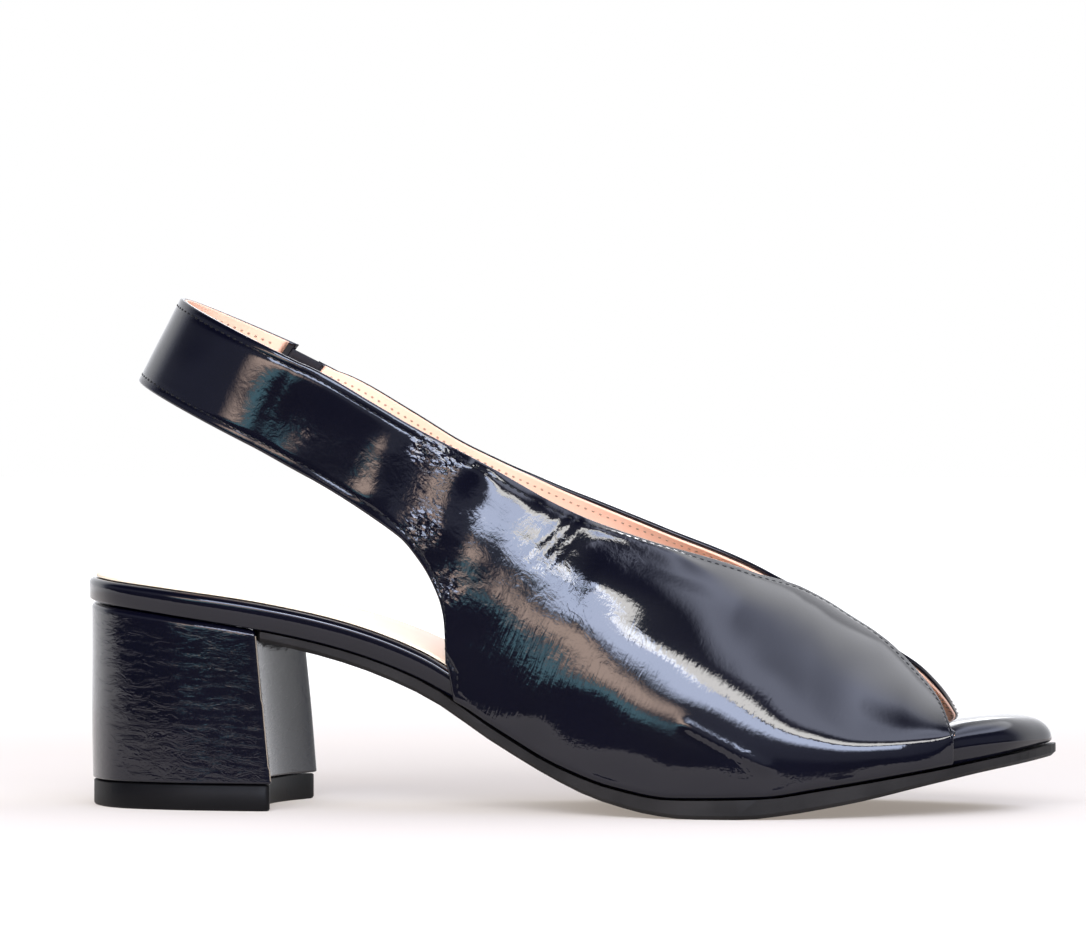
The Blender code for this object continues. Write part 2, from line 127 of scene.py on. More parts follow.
# Distances from an edge at which a grid has a line of points
EDGE_LINES = np.array([0, 0.06, 0.2, 0.4, 0.65, 1.1, 1.6, 1.95, STITCH_EDGE, 2.45, 2.8, 3.6])
STITCH_LINE = int(np.argmin(np.abs(EDGE_LINES - STITCH_EDGE)))
EDGE_SHARE = 0.4        # most of a section that the lines of an edge take up
ROLL_REACH = 3.0        # softness of the roll from the wall to the vamp, near the toe
ROLL_LEAST = 0.3
ROLL_STATIONS = (160, 190)
SECTION_SAMPLES = 161
SOFT_SAMPLES = 301
SOFT_HALF = 60          # samples to both sides that a softened one is drawn from

# Grids: rows between two sections, points across between the edge lines, turns of the strap and of the stub,
# insets of the outer and of the inner panel at the strap and at the toe
PANEL_GRID = (14, 58, np.linspace(0, STRAP_END, 111), np.linspace(180, STUB_END, 9), (0.0, 0.0), (0.0, 0.0))
LINING_GRID = (6, 24, np.linspace(0, STRAP_END - 4, 60), np.linspace(180, STUB_END + 3, 5),
               (LINING_INSET, LINING_INSET), (BARE_INSET, LINING_INSET))

# Mesh: distance at which borders join, and angles from which an edge is sharp
SHELL_WELD = 0.001
ALL_SMOOTH = 180
CUT_EDGE = 50


def table(columns, *rows):
    """Rows of numbers as named columns."""
    return dict(zip(columns.split(), np.array(rows, float).T))


# Plan of the insole: percent of the length, then percent of the ball width on each side
OUTLINE = table(
    "station lateral medial",
    (3.3, 23.3, 23.3), (9.8, 32.0, 31.8), (18.4, 34.4, 33.6), (28.6, 34.7, 30.9), (38.8, 36.0, 28.8),
    (49.0, 40.3, 32.3), (58.0, 46.1, 41.9), (65.3, 49.1, 49.6), (73.5, 47.5, 52.8), (81.6, 40.8, 50.9),
    (89.8, 30.4, 44.8), (95.9, 16.0, 35.0), (98.8, 1.3, 22.7),
)
TIP_OFFSET = 10.7

# Side view of the sole: top of the outsole
SOLE = table(
    "station feather",
    (0, HEEL_HEIGHT), (25, 48.7), (50, 44.8), (70, 40.3), (90, 33.0), (110, 20.6), (125, 12.2),
    (140, 6.9), (154, 4.6), (176, 5.0), (190, 7.0), (215, 11.2), (230, 14.0), (LENGTH, 16.9),
)

# Wrapped insole: thickness at its edge, rounding of its upper edge and swell of its pad
RIM = table(
    "station thick round pad",
    (0, 5.8, 1.6, 0), (50, 6.6, 1.6, 0), (90, 6.8, 1.6, 0), (195, 6.8, 1.6, 0), (214, 7.2, 3.4, 1.8),
    (222, 9.4, 5.0, 1.4), (231, 8.6, 5.0, 1.2), (239, 6.9, 4.6, 0.7), (LENGTH, 4.4, 3.4, 0.4),
)

# Last above the wall: ridge across, ridge height in percent of the instep height, fullness of the curve
LAST = table(
    "station across ridge fullness",
    (48, 0.0, 257, 3.4), (60, 0.0, 237, 3.4), (80, 0.0, 203, 3.2), (98, 0.0, 175, 2.85),
    (122, 0.5, 144, 2.5), (146, 1.0, 120, 2.25), (170, 2.0, 100, 1.93), (187, 3.0, 83.4, 1.6),
    (200, 4.0, 70.4, 1.42), (210, 5.0, 62, 1.36), (222.4, 7.0, 48, 1.36),
)

# Edges of the panels as angles on the last
LATERAL_TOP = table(
    "station angle",
    (60, 26), (84, 33.2), (109, 45.7), (134, 54.4), (158, 65.2), (171, 72.2), (180, 79.8), (187, 86),
    (193, 90.9), (198, 90), (203, 81.4), (208, 73.1), (213, 63.6), (218, 47.8), (220.6, 27.3), (222.2, 4),
)
MEDIAL_TOP = table(
    "station angle",
    (60, 25.3), (90, 35.2), (103, 42.4), (117, 51.1), (130, 58.4), (156, 69.4), (169, 73.9), (176, 76.7),
    (182, 83.6), (189, 98), (196, 97.8), (202, 83.1), (207, 73.5), (211.6, 68.1), (216, 55.3),
    (218.4, 42.2), (220, 23.3), (220.9, 4),
)
REAR_EDGE = table(
    "station angle",
    (48, 9.3), (62, 9.05), (78, 9.4), (85, 9.5), (90.2, 8.3), (94.2, 6.1), (96.2, 3.5), (97.4, -6),
    (REAR_CORNER, FOOT_ANGLE),
)

# Sections of a panel: station at its lower edge, station at its upper edge
SECTIONS = table(
    "low high",
    (222.4, 222.2), (220.8, 220.6), (217.5, 217.5), (212.5, 213), (206, 207), (198, 200), (190, 193),
    (181, 185), (170, 175), (156, 162.5), (141, 149), (125, 136), (111, 126), (REAR_CORNER, 118),
    (97.4, 112.5), (96.2, 107.5), (94.2, 103.5), (90.2, 99.5), (84.5, 95), (76, 88), (62, 74), (48, 60),
)

# Heel block: height as station, back, front corner on each side, share of the insole's width
HEEL = table(
    "station back lateral_front medial_front width",
    (HEEL_BOTTOM, 0.9, 52.8, 55.0, 1.0), (28.0, 0.6, 50.8, 53.6, 0.99),
    (HEEL_HEIGHT, 0.6, 48.6, 51.6, 0.98),
)

# Soft folds of the outer panel in side view: ridges have a plus height and troughs a minus one
FOLDS = table(
    "x1 z1 x2 z2 width height",
    (117, 64, 127.5, 74.5, 0.8, -0.14), (119, 62, 130, 73.5, 0.8, -0.16),
    (121.5, 61, 132, 71.5, 0.8, -0.12), (59, 90, 66, 106, 4.5, 0.14), (79, 80, 82, 89, 4.2, 0.42),
    (96, 73, 101, 88, 5.0, 0.7), (106, 64, 110, 77, 4.0, 0.25), (158, 23, 177, 13.2, 1.15, 0.26),
)
FOLD_END = 1.3          # reach of their ends, as a share of their width

# Ridge under the outer panel's top edge, with long soft ends: like the folds
TOP_RIDGE = table("x1 z1 x2 z2 width height", (138, 70, 152, 64, 2.0, 1.4))
TOP_RIDGE_END = 4.0

# Slow swells of the outer panel in side view, as far out as its edges: like the folds
SWELLS = table(
    "x1 z1 x2 z2 width height",
    (60, 107, 101, 91, 12.0, 1.0), (58, 82, 80, 67, 11.0, 0.6), (136, 59, 168, 51.5, 6.0, 0.6),
    (95, 31, 118, 26, 7.0, 0.3), (50, 119, 104, 90.5, 7.0, 1.0), (104, 87, 131, 72.5, 5.5, 0.8),
    (122, 76.5, 133, 71.5, 5.0, 0.4),
)
SWELL_END = 0.7

# Patches of fine crinkles in side view: place, reach and strength
CRINKLES = table(
    "x z reach strength",
    (94, 84, 12, 1.0), (93, 68, 9, 0.8), (98, 55, 7, 0.5), (112, 62, 14, 0.7), (130, 66, 14, 0.5),
    (140, 42, 14, 0.15), (122, 42, 14, 0.2), (54, 102, 14, 0.4), (74, 88, 12, 0.4), (178, 20, 10, 0.1),
    (142, 68, 7, 0.5),
)

# Patches of hair-like wrinkles in side view: place, reach and strength
FRINGES = table(
    "x z reach strength",
    (136, 62, 8, 0.25), (146, 50, 9, 0.3), (156, 40, 9, 0.4), (166, 32, 8, 0.4), (175, 26, 7, 0.35),
    (190, 20, 9, 0.2), (112, 42, 12, 0.9), (126, 38, 12, 0.9), (138, 32, 10, 0.7), (168, 18, 8, 0.2),
    (120, 68, 10, 0.5), (110, 30, 10, 0.4),
)

# Patches of sparkling crackle in side view: place, reach and strength
SPARKLES = table(
    "x z reach strength",
    (90.5, 90.5, 3.2, 0.9), (97.5, 87.5, 3.2, 0.7), (92, 82, 6, 0.12), (142, 68, 6, 0.1),
    (91, 70.5, 4.2, 1.0), (96.5, 56, 3.6, 0.8), (63, 95, 4, 0.12), (103, 73, 5, 0.1),
    (172, 15.5, 4, 0.15),
)

# Wrinkles by the name of their weights: patches, and the strength outside them
WRINKLES = {"crinkle": (CRINKLES, 0.04), "fringe": (FRINGES, 0.04), "sparkle": (SPARKLES, 0.0)}


def along(rows, column, x):
    """Smooth values of a table's column at stations x, with no overshoot between rows."""
    knots, values = rows["station"], rows[column]
    x = np.asarray(x, float)
    widths = np.diff(knots)
    slopes = np.diff(values) / widths
    before, after = slopes[:-1], slopes[1:]
    heavy = 2 * widths[1:] + widths[:-1]
    light = widths[1:] + 2 * widths[:-1]
    same_way = before * after > 0
    safe_before = np.where(same_way, before, 1.0)
    safe_after = np.where(same_way, after, 1.0)
    inner = np.where(same_way, (heavy + light) / (heavy / safe_before + light / safe_after), 0.0)
    tangents = np.concatenate([slopes[:1], inner, slopes[-1:]])
    k = np.clip(np.searchsorted(knots, x) - 1, 0, len(knots) - 2)
    t = np.clip((x - knots[k]) / widths[k], 0, 1)
    start = (2 * t**3 - 3 * t**2 + 1) * values[k] + (t**3 - 2 * t**2 + t) * widths[k] * tangents[k]
    return start + (3 * t**2 - 2 * t**3) * values[k + 1] + (t**3 - t**2) * widths[k] * tangents[k + 1]


def run_length(points):
    """Lengths from the first point along a line of points, or along each column of a grid."""
    steps = np.linalg.norm(np.diff(points, axis=0), axis=-1)
    return np.concatenate([np.zeros_like(steps[:1]), np.cumsum(steps, axis=0)])


def resample(wanted, run, points):
    """Points at wanted lengths along a line of points."""
    return np.stack([np.interp(wanted, run, column) for column in points.T], axis=-1)


def unit(vectors):
    """Vectors of the same directions, with a length of 1."""
    return vectors / np.linalg.norm(vectors, axis=-1, keepdims=True)


def bell(distances, reach):
    """Weights that fall off with distance over a reach, and add up to 1."""
    weights = np.exp(-0.5 * (distances / reach) ** 2)
    return weights / weights.sum()


def smooth_ring(points, steps):
    """Closed centripetal Catmull-Rom curve through the points, with steps samples between each two."""
    samples = []
    count = len(points)
    for k in range(count):
        p = [points[(k + j) % count] for j in (-1, 0, 1, 2)]
        t = np.cumsum([0.0] + [math.sqrt(np.linalg.norm(p[j + 1] - p[j])) for j in range(3)])
        for s in range(steps):
            u = t[1] + (t[2] - t[1]) * s / steps
            a = [((t[j + 1] - u) * p[j] + (u - t[j]) * p[j + 1]) / (t[j + 1] - t[j]) for j in range(3)]
            b = [((t[j + 2] - u) * a[j] + (u - t[j]) * a[j + 1]) / (t[j + 2] - t[j]) for j in range(2)]
            samples.append(((t[2] - u) * b[0] + (u - t[1]) * b[1]) / (t[2] - t[1]))
    return np.array(samples)


def insole_ring(steps):
    """Plan of the insole: from the back along the outer side to the toe, and back along the inner side."""
    stations = OUTLINE["station"] * LENGTH / 100
    outer = np.column_stack([stations, -OUTLINE["lateral"] * BALL_WIDTH / 100])
    inner = np.column_stack([stations, OUTLINE["medial"] * BALL_WIDTH / 100])
    tip = (LENGTH, TIP_OFFSET * BALL_WIDTH / 100)
    return smooth_ring(np.vstack([[(0, 0)], outer, [tip], inner[::-1]]), steps)


def ring_normals(ring):
    """Unit normals that point out of a plan ring."""
    tangent = np.roll(ring, -1, axis=0) - np.roll(ring, 1, axis=0)
    return unit(np.column_stack([tangent[:, 1], -tangent[:, 0]]))


PLAN = insole_ring(steps=14)
PLAN_NORMALS = ring_normals(PLAN)
FINE_PLAN = insole_ring(steps=16)
SKIN_PLAN = FINE_PLAN + ring_normals(FINE_PLAN) * (GAP + WALL)


def half_plan(plan, side):
    """The outer (side -1) or inner (side 1) half of a plan ring, from back to toe."""
    tip = np.argmax(plan[:, 0])
    return plan[: tip + 1] if side < 0 else np.vstack([plan[tip:], plan[:1]])[::-1]


def skin_edge(x, side):
    """How far across the outside of the upper lies at the sole."""
    half = half_plan(SKIN_PLAN, side)
    return np.interp(x, half[:, 0], half[:, 1])


def smoothstep(low, high, value):
    """0 below low, 1 above high, smooth between."""
    t = np.clip((value - low) / (high - low), 0.0, 1.0)
    return t * t * (3 - 2 * t)


def last_point(x, angle, side):
    """Points on the outside of the upper, at stations and at angles round the section."""
    over = angle > RIDGE_ANGLE
    angle = np.where(over, 2 * RIDGE_ANGLE - angle, angle)
    foot_y = np.where(over, skin_edge(x, -side), skin_edge(x, side))
    foot_z = along(SOLE, "feather", x) + GAP
    wall_z = foot_z + WALL_RISE * (1 - angle / FOOT_ANGLE)
    power = 2 / along(LAST, "fullness", x)
    ridge_y = along(LAST, "across", x)
    ridge_z = along(LAST, "ridge", x) * INSTEP_HEIGHT / 100
    base_z = foot_z + WALL_RISE
    turn = np.radians(np.clip(angle, 0, RIDGE_ANGLE))
    arch_y = ridge_y + (foot_y - ridge_y) * np.clip(np.cos(turn), 0, 1) ** power
    arch_z = base_z + (ridge_z - base_z) * np.sin(turn) ** power
    on_wall = angle <= 0
    return np.stack([x, np.where(on_wall, foot_y, arch_y), np.where(on_wall, wall_z, arch_z)], axis=-1)


def fold_relief(folds, x, z, end):
    """Height of soft folds at points of the side view, with ends that fade over a share of their width."""
    total = np.zeros_like(x)
    for x1, z1, x2, z2, width, height in zip(*folds.values()):
        run = np.array([x2 - x1, z2 - z1])
        length = np.linalg.norm(run)
        along_line = ((x - x1) * run[0] + (z - z1) * run[1]) / length
        across = ((x - x1) * run[1] - (z - z1) * run[0]) / length
        past = np.maximum(np.maximum(-along_line, along_line - length), 0)
        total += height * np.exp(-(across / width) ** 2 - (past / (end * width)) ** 2)
    return total


def lap_point(x, angle, side):
    """Points of the outer panel, lifted over the inner panel round the crossing."""
    points = last_point(x, angle, side)
    rise_start, rise_end, fall_start, fall_end = LAP_STATIONS
    weight = smoothstep(rise_start, rise_end, x) * (1 - smoothstep(fall_start, fall_end, x))
    weight = weight * smoothstep(*LAP_ANGLES, angle)
    core = np.stack([x, along(LAST, "across", x), along(SOLE, "feather", x)], axis=-1)
    points = points + unit(points - core) * (LAP * weight)[..., None]
    points[..., 1] += side * fold_relief(SWELLS, points[..., 0], points[..., 2], SWELL_END)
    return points


def row_values(column, per_row):
    """A section column, sampled smoothly per_row times between its rows."""
    count = len(SECTIONS[column])
    rows = {"station": np.arange(count, dtype=float), column: SECTIONS[column]}
    return along(rows, column, np.linspace(0, count - 1, (count - 1) * per_row + 1))


def fit_front(stations, front):
    """Stations of the sections, drawn in past the crossing to end at a panel's own front."""
    past = np.maximum(stations - CROSSING_FRONT, 0)
    return stations - past * (FRONT_LATERAL - front) / (FRONT_LATERAL - CROSSING_FRONT)


def line_distances(length, middle, inset):
    """Distances from the lower edge at which a section has points, closer at its two edges."""
    reach = min(EDGE_LINES[-1], EDGE_SHARE * (length - 2 * inset))
    edge = EDGE_LINES * reach / EDGE_LINES[-1] + inset
    inside = np.linspace(edge[-1], length - edge[-1], middle + 2)[1:-1]
    return np.concatenate([edge, inside, length - edge[::-1]])


def soften(points, run, reach):
    """A section drawn evenly and smoothed over a reach in millimetres, with its two ends kept."""
    even_run = np.linspace(0, run[-1], SOFT_SAMPLES)
    even = resample(even_run, run, points)
    kernel = bell(np.arange(-SOFT_HALF, SOFT_HALF + 1) * even_run[1], reach)
    before = 2 * even[0] - even[SOFT_HALF:0:-1]
    after = 2 * even[-1] - even[-2:-SOFT_HALF - 2:-1]
    padded = np.vstack([before, even, after])
    smooth = np.column_stack([np.convolve(padded[:, k], kernel, mode="valid") for k in range(3)])
    return smooth, even_run


def panel_grid(side, top_edge, front, place, per_row, middle, insets):
    """Rows of points over a panel from the toe opening to its strap, and their distances from its edges.

    insets are the distances left free along the edges, at the strap and at the toe.
    """
    grid, low_room, top_room = [], [], []
    lows = fit_front(row_values("low", per_row), front)
    highs = fit_front(row_values("high", per_row), front)
    shares = np.linspace(0, 1, SECTION_SAMPLES)
    for low_x, high_x in zip(lows, highs):
        low = FOOT_ANGLE if low_x >= REAR_CORNER else along(REAR_EDGE, "angle", low_x)
        high = along(top_edge, "angle", high_x)
        knee = max(0.0, low + STRAP_KNEE * (high - low))

        def section(share):
            angles = np.interp(share, (0, STRAP_KNEE, 1), (low, knee, high))
            return place(low_x + (high_x - low_x) * share, angles, side)

        dense = section(shares)
        run = run_length(dense)
        inset = insets[0] + (insets[1] - insets[0]) * smoothstep(*INSET_STATIONS, high_x)
        wanted = line_distances(run[-1], middle, inset)
        reach = ROLL_REACH * smoothstep(*ROLL_STATIONS, low_x)
        if reach > ROLL_LEAST:
            smooth, even_run = soften(dense, run, reach)
            grid.append(resample(wanted, even_run, smooth))
        else:
            grid.append(section(np.interp(wanted, run, shares)))
        low_room.append(wanted)
        top_room.append(run[-1] - wanted)
    return np.array(grid), np.array(low_room), np.array(top_room)


def turn_rows(outer_row, inner_row, turns, inset=0.0):
    """Rows of the strap round the heel, at turns in degrees from its outer (0) to its inner side (180)."""
    steps = run_length(outer_row)
    share = (steps / steps[-1])[:, None]
    back = np.array(STRAP_BACK_LOW) + (np.array(STRAP_BACK_HIGH) - np.array(STRAP_BACK_LOW)) * share
    rows = []
    for degrees in turns:
        side = outer_row if degrees <= 90 else inner_row
        turn = math.radians(degrees)
        x = side[:, 0] - (side[:, 0] - back[:, 0] - inset) * math.sin(turn)
        y = (np.abs(side[:, 1]) - inset) * -math.cos(turn)
        z = side[:, 2] + (back[:, 1] - side[:, 2]) * math.sin(turn)
        rows.append(np.column_stack([x, y, z]))
    return np.array(rows)


def grid_normals(points, side):
    """Unit normals of a grid that point out of the shoe."""
    return unit(np.cross(np.gradient(points, axis=1), np.gradient(points, axis=0)) * -side)


def end_room(points):
    """Distance of each point from the first and the last row of its grid."""
    run = run_length(points)
    return np.minimum(run, run[-1:] - run)


def edge_drop(room, radius):
    """How far a rounded edge falls back, at a distance from it."""
    left = np.clip(radius - room, 0, radius)
    return radius - np.sqrt(radius**2 - left**2)


def place_origin(points):
    """Millimetres from the seat's back to metres from the origin."""
    return (np.asarray(points, float).reshape(-1, 3) - (ORIGIN_STATION, 0, 0)) * MM


def add_object(name, data):
    """A new object in the scene."""
    item = bpy.data.objects.new(name, data)
    bpy.context.scene.collection.objects.link(item)
    return item


def mesh_piece(name, points, faces, material, weld=0.0, sharp=ALL_SMOOTH):
    """A piece of the shoe from points in millimetres and faces, smooth, riding on the shoe's body."""
    mesh = bpy.data.meshes.new(name)
    mesh.from_pydata(place_origin(points).tolist(), [], faces)
    shape = bmesh.new()
    shape.from_mesh(mesh)
    if weld:
        bmesh.ops.remove_doubles(shape, verts=shape.verts, dist=weld * MM)
    bmesh.ops.recalc_face_normals(shape, faces=shape.faces)
    shape.to_mesh(mesh)
    shape.free()
    mesh.shade_smooth()
    if sharp < ALL_SMOOTH:
        mesh.set_sharp_from_angle(angle=math.radians(sharp))
    mesh.materials.append(material)
    piece = add_object(name, mesh)
    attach(piece, BODY)
    return piece


def grid_faces(rows, columns, first=0):
    """Faces of a grid of points."""
    a = first + (np.arange(rows - 1)[:, None] * columns + np.arange(columns - 1)).ravel()
    return np.column_stack([a, a + 1, a + columns + 1, a + columns])


def shell_piece(name, outside, inside, material):
    """A closed thin piece between two grids that meet along their borders."""
    rows, columns = outside.shape[:2]
    front = grid_faces(rows, columns)
    back = grid_faces(rows, columns, rows * columns)[:, ::-1]
    points = np.vstack([outside.reshape(-1, 3), inside.reshape(-1, 3)])
    return mesh_piece(name, points, np.vstack([front, back]).tolist(), material, weld=SHELL_WELD)


def patch_weight(patches, x, z):
    """Strength of wrinkles given in patches, at points of the side view, 0 to 1."""
    total = np.zeros_like(x)
    for px, pz, reach, strength in zip(*patches.values()):
        total += strength * np.exp(-((x - px) ** 2 + (z - pz) ** 2) / reach**2)
    return np.clip(total, 0, 1)


def slow_waves(points):
    """Small uneven waves that leather keeps after lasting."""
    x, y, z = points[..., 0], points[..., 1], points[..., 2]
    waves = np.sin(x / 5.1 + z / 3.7 + 0.4) * np.sin(z / 6.3 - x / 9.7 + 1.9)
    waves += 0.7 * np.sin(x / 3.3 - z / 4.9 + 2.6) * np.sin(x / 7.9 + z / 8.3 + y / 11)
    return waves


def stitch_row(path, normals, length):
    """Points of the stitches of a length along a path on the leather, each a small rounded dash."""
    run = run_length(path)
    for middle in np.arange(STITCH_START + length / 2, run[-1] - length / 2, STITCH_PITCH):
        points = []
        for share, girth in zip(STITCH_RINGS, STITCH_GIRTHS):
            s = middle + share * length
            before, centre, after = resample((s - STITCH_LOOK, s, s + STITCH_LOOK), run, path)
            normal = unit(resample(s, run, normals))
            across = unit(np.cross(normal, after - before))
            width = STITCH_WIDTH * (1 + FRONT_WIDE * smoothstep(*FRONT_STATIONS, centre[0]))
            for turn in STITCH_SIDES:
                offset = across * math.cos(turn) * width / 2 + normal * math.sin(turn) * STITCH_RISE
                points.append(centre + offset * girth)
        yield points


def ring_faces(ring_count, size):
    """Faces between each closed ring and the next."""
    i = np.arange(size)
    j = (i + 1) % size
    bands = [np.column_stack([r * size + i, r * size + j, (r + 1) * size + j, (r + 1) * size + i])
             for r in range(ring_count - 1)]
    return np.vstack(bands).tolist()


def stacked_faces(ring_count, size):
    """Faces of closed rings one over the other, with a flat one at each end."""
    last = (ring_count - 1) * size
    return ring_faces(ring_count, size) + [tuple(range(size)), tuple(range(last, last + size))]


def make_stitches(name, rows, length, material):
    """One piece with the stitches of several rows, each a path and its normals."""
    stitch_faces = stacked_faces(len(STITCH_RINGS), len(STITCH_SIDES))
    points, faces = [], []
    for path, normals in rows:
        for stitch in stitch_row(path, normals, length):
            faces += [tuple(i + len(points) for i in face) for face in stitch_faces]
            points += stitch
    mesh_piece(name, points, faces, material)


def inset_ring(inset):
    """The insole's plan drawn in by an inset, and the stations of its points."""
    flat = PLAN - PLAN_NORMALS * np.broadcast_to(inset, len(PLAN))[:, None]
    return flat, np.clip(flat[:, 0], 0, LENGTH)


def cross_strips(first, size):
    """Faces across a long ring, from its outer half to its inner half."""
    half = size // 2
    faces = [(first, first + 1, first + size - 1), (first + half - 1, first + half, first + half + 1)]
    for i in range(1, half - 1):
        faces.append((first + i, first + i + 1, first + size - i - 1, first + size - i))
    return faces


def layered_piece(name, rings, material, sharp=ALL_SMOOTH):
    """A closed piece from plan rings, closed across at the first and last."""
    size = len(rings[0])
    last = (len(rings) - 1) * size
    faces = ring_faces(len(rings), size) + cross_strips(0, size) + cross_strips(last, size)
    return mesh_piece(name, np.vstack(rings), faces, material, sharp=sharp)


def insole_top(x, inset):
    """Height of the wrapped insole, at a distance in from its edge."""
    edge = along(RIM, "round", x)
    swell = 1 - (1 - np.minimum(inset / PAD_REACH, 1.0)) ** 3
    drop = edge - np.sqrt(np.maximum(edge**2 - np.maximum(edge - inset, 0.0) ** 2, 0.0))
    return along(SOLE, "feather", x) + GAP + along(RIM, "thick", x) + along(RIM, "pad", x) * swell - drop


def inset_room(x):
    """Share of an inset that fits in the narrow ends of the plan."""
    return END_ROOM + (1 - END_ROOM) * smoothstep(0, END_REACH, np.minimum(x, LENGTH - x))


class Nodes:
    """The shader nodes of a material, light or world, with short ways to add and link them."""

    def __init__(self, owner):
        owner.use_nodes = True
        self.nodes = owner.node_tree.nodes
        self.link = owner.node_tree.links.new

    def add(self, kind, *sources, **settings):
        """A node with its settings, by socket or property, and its first sockets fed by sources."""
        node = self.nodes.new("ShaderNode" + kind)
        for key, value in settings.items():
            if key in node.inputs:
                self.feed(node.inputs[key], value)
            else:
                setattr(node, key, value)
        for socket, source in zip(node.inputs, sources):
            self.feed(socket, source)
        return node

    def feed(self, socket, source):
        """Links a socket from another one, or sets it to a value."""
        if isinstance(source, bpy.types.NodeSocket):
            self.link(source, socket)
        else:
            socket.default_value = source

    def math(self, operation, first, second):
        """Result of an operation on two sockets or numbers."""
        return self.add("Math", first, second, operation=operation).outputs[0]

    def vector(self, operation, *sources, **settings):
        """Result of an operation on vectors."""
        node = self.add("VectorMath", *sources, operation=operation, **settings)
        return node.outputs["Value" if operation == "DISTANCE" else "Vector"]

    def spread(self, value, low, high, start, end):
        """A value that goes smoothly from start to end, while a socket goes from low to high."""
        node = self.add("MapRange", value, low, high, start, end, interpolation_type="SMOOTHSTEP")
        return node.outputs["Result"]

    def noise(self, place, scale, detail, roughness=0.5, distortion=0.0):
        """A noise texture, with its scale in waves to the metre."""
        node = self.add("TexNoise", Vector=place, Scale=scale, Detail=detail, Roughness=roughness,
                        Distortion=distortion)
        return node.outputs["Fac"]

    def stretched(self, place, scale, rotation):
        """Coordinates turned back by a rotation and then shrunk by a scale along each axis."""
        node = self.add("Mapping", vector_type="TEXTURE", Vector=place, Scale=scale, Rotation=rotation)
        return node.outputs["Vector"]

    def colour_mix(self, share, first, second):
        """A colour between two, by a 0 to 1 socket."""
        node = self.add("ValToRGB", share)
        for element, colour, position in zip(node.color_ramp.elements, (first, second), COLOUR_SPAN):
            element.color = (*colour, 1)
            element.position = position
        return node.outputs["Color"]

    def weighted(self, height, weight):
        """A height scaled by a number, or by the piece's own weights of that name."""
        if isinstance(weight, str):
            weight = self.add("Attribute", attribute_name=weight).outputs["Fac"]
        return self.math("MULTIPLY", height, weight)

    def bumps(self, layers):
        """Normal of bumps one over the other, from (height, millimetres, strength) rows."""
        normal = None
        for height, distance, strength in layers:
            node = self.add("Bump", Height=height, Distance=distance * MM, Strength=strength)
            if normal is not None:
                self.link(normal, node.inputs["Normal"])
            normal = node.outputs["Normal"]
        return normal


# Patent leather: colours, shine, and noises by waves to the metre, detail, roughness and distortion
COLOUR_SPAN = (0.35, 0.65)
NAVY = (0.0005, 0.0006, 0.0034)
NAVY_LIGHT = (0.0008, 0.0009, 0.0044)
PATENT = {"Roughness": 0.4, "Specular IOR Level": 0.05,
          "Coat Weight": 1.0, "Coat Roughness": 0.045, "Coat IOR": 1.45}
TONE = (45, 3)
SWELL, SWELL_MM = (70, 1), 0.5
CREASE, CREASE_MM = (340, 4, 0.6, 1.0), 0.12
HAIR, HAIR_MM = (900, 2, 0.5, 0.6), 0.055
CRACK, CRACK_MM = (2200, 0), 0.05
GRAIN, GRAIN_MM, GRAIN_SHARE = (1100, 2), 0.012, 0.6
HAIR_STRETCH = (1, 1, 6)
HAIR_TURN = (0, 0.34, 0)
FACETS_PER_METRE = 1700
FACET_STRETCH = (2.0, 1, 0.8)
FACET_TURN = (0, 0.65, 0)
FACET_MIDDLE = (0.5, 0.5, 0.3)   # level facet, with the rest tipped up on the whole
FACET_LEAN = 0.5

# Other surfaces: shine, tone by waves and detail, bumps by waves, detail, millimetres and strength
SURFACES = {
    "leather": (0.3, (30, 4), ((120, 2, 0.15, 0.3), (900, 3, 0.05, 0.5))),
    "rubber": (0.15, (60, 5), ((700, 3, 0.06, 0.5),)),
}

# Their looks: surface, name of the material, dark and light tone, roughness
PLAIN_LOOKS = {
    "lining": ("leather", "lining_leather", (0.80, 0.49, 0.35), (0.87, 0.56, 0.42), 0.55),
    "sock": ("leather", "sock_leather", (0.66, 0.56, 0.43), (0.71, 0.61, 0.48), 0.5),
    "thread": ("leather", "thread", (0.001, 0.001, 0.002), (0.002, 0.002, 0.003), 0.6),
    # lining stitches: real thread, coloured as the lining shaded dark, a painted shade of the stitch holes
    "lining_thread_hole_shade": ("leather", "lining_thread_hole_shade", (0.30, 0.20, 0.14), (0.36, 0.25, 0.18), 0.6),
    "outsole": ("rubber", "outsole_rubber", (0.007, 0.0065, 0.0065), (0.016, 0.015, 0.015), 0.55),
    "top_piece": ("rubber", "heel_rubber", (0.0015, 0.0015, 0.002), (0.003, 0.003, 0.0035), 0.5),
    "cut_edge": ("leather", "cut_edge", (0.15, 0.125, 0.095), (0.21, 0.175, 0.135), 0.7),
    "elastic": ("leather", "elastic_web", (0.006, 0.006, 0.009), (0.012, 0.012, 0.016), 0.8),
}


def new_material(name, settings):
    """A new material with its nodes, its shader as set, and the coordinates of its textures."""
    material = bpy.data.materials.new(name)
    nodes = Nodes(material)
    shader = nodes.nodes["Principled BSDF"]
    for key, value in settings.items():
        shader.inputs[key].default_value = value
    return material, nodes, shader, nodes.add("TexCoord").outputs["Object"]


def tilted_facets(nodes, place, normal, weight):
    """Facets of crackled leather that each tip the shine their own way, by the piece's own weights."""
    cells = nodes.add("TexVoronoi", Vector=nodes.stretched(place, FACET_STRETCH, FACET_TURN),
                      Scale=FACETS_PER_METRE)
    centred = nodes.vector("SUBTRACT", cells.outputs["Color"], FACET_MIDDLE)
    share = nodes.add("Attribute", attribute_name=weight).outputs["Fac"]
    lean = nodes.vector("SCALE", centred, Scale=nodes.math("MULTIPLY", share, FACET_LEAN))
    return nodes.vector("NORMALIZE", nodes.vector("ADD", normal, lean))


